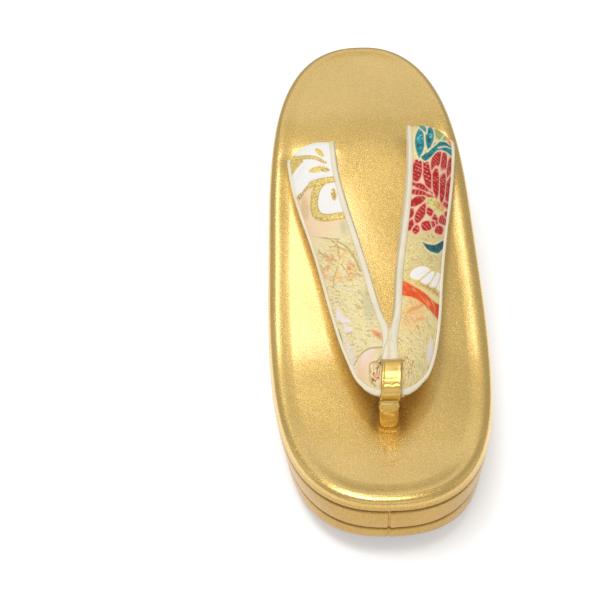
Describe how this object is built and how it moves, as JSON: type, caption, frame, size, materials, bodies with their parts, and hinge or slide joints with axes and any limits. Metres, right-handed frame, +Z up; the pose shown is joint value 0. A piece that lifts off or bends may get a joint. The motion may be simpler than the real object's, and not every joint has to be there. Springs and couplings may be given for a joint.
{
  "type": "zori sandal",
  "caption": "Padded zori sandal with a two-tier wedge sole, brocade-faced padded straps joined under a toe thong, and a thin flat outsole.",
  "frame": {"origin": "centre of the sole's outline, on the outsole's bottom plane", "axes": "toe towards -Y, heel towards +Y, +Z up"},
  "size_m": [0.0868, 0.2402, 0.0674],
  "materials": {
    "gold_vinyl": "pearlescent gold coated leather cloth, fine grain, soft gloss",
    "cream_lining": "smooth cream synthetic leather, satin",
    "brocade": "woven silk brocade with gold thread",
    "brown_outsole": "matt brown sole sheet"
  },
  "bodies": {
    "root": {"top_cover": "gold_vinyl", "upper_tier": "gold_vinyl", "lower_tier": "gold_vinyl", "outsole": "brown_outsole", "straps": "cream_lining", "brocade_left": "brocade", "brocade_right": "brocade", "toe_thong": "gold_vinyl"}
  },
  "joints": []
}
